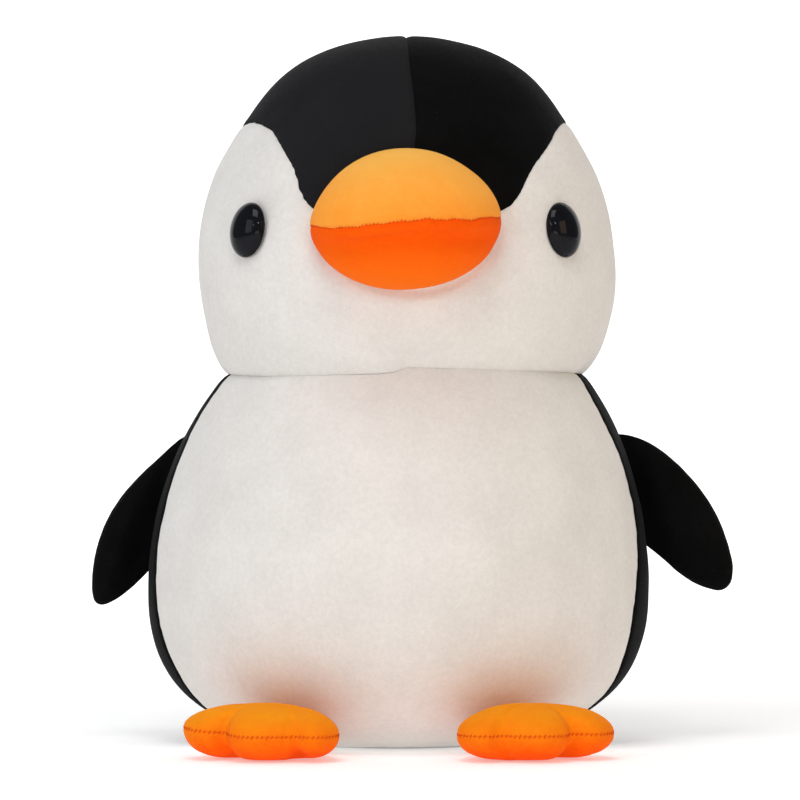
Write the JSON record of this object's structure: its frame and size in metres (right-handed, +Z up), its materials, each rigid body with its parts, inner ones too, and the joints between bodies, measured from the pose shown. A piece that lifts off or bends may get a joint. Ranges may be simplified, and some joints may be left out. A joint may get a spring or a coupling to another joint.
{
  "type": "plush penguin",
  "caption": "Round plush penguin that sits upright, with a black cap and back, white face and belly, stuffed orange beak and feet, swinging wings and glossy oval eyes.",
  "frame": {"origin": "middle of the flat base that the toy rests on", "axes": "+X to the toy's own left, -Y to its front, +Z up"},
  "size_m": [0.3194, 0.2497, 0.3496],
  "materials": {
    "black_plush": "short black plush with a soft sheen",
    "white_plush": "short off-white plush",
    "light_orange_plush": "short light orange plush",
    "orange_plush": "short deep orange plush",
    "eye_gloss": "polished black plastic",
    "washer_plastic": "moulded white plastic",
    "fibre_fill": "loose polyester fibre"
  },
  "bodies": {
    "torso": {"cap_left": "black_plush", "cap_right": "black_plush", "face_left": "white_plush", "face_right": "white_plush", "belly_panel": "white_plush", "back_left": "black_plush", "back_right": "black_plush", "base_panel": "black_plush", "beak_upper": "light_orange_plush", "beak_lower": "orange_plush", "beak_filling": "fibre_fill", "eye_left": "eye_gloss", "eye_right": "eye_gloss", "eye_washer_left": "washer_plastic", "eye_washer_right": "washer_plastic", "head_filling": "fibre_fill", "body_filling": "fibre_fill"},
    "wing_left": {"wing_left_front": "black_plush", "wing_left_back": "black_plush", "wing_left_filling": "fibre_fill"},
    "wing_right": {"wing_right_front": "black_plush", "wing_right_back": "black_plush", "wing_right_filling": "fibre_fill"},
    "foot_left": {"foot_left_upper": "orange_plush", "foot_left_sole": "orange_plush", "foot_left_filling": "fibre_fill"},
    "foot_right": {"foot_right_upper": "orange_plush", "foot_right_sole": "orange_plush", "foot_right_filling": "fibre_fill"}
  },
  "joints": [
    {"name": "wing_left_swing", "type": "hinge", "parent": "torso", "child": "wing_left", "pos_m": [0.1205, 0.012, 0.1325], "axis": [0.3007, 0, -0.9537], "range_deg": [-50, 40], "stiffness_Nm_per_rad": 0.02},
    {"name": "wing_right_swing", "type": "hinge", "parent": "torso", "child": "wing_right", "pos_m": [-0.1205, 0.012, 0.1325], "axis": [0.3007, 0, 0.9537], "range_deg": [-50, 40], "stiffness_Nm_per_rad": 0.02},
    {"name": "foot_left_flex", "type": "hinge", "parent": "torso", "child": "foot_left", "pos_m": [0.0485, -0.0675, 0.005], "axis": [-0.9397, -0.342, 0], "range_deg": [-25, 20], "stiffness_Nm_per_rad": 0.02},
    {"name": "foot_right_flex", "type": "hinge", "parent": "torso", "child": "foot_right", "pos_m": [-0.0485, -0.0675, 0.005], "axis": [-0.9397, 0.342, 0], "range_deg": [-25, 20], "stiffness_Nm_per_rad": 0.02}
  ]
}
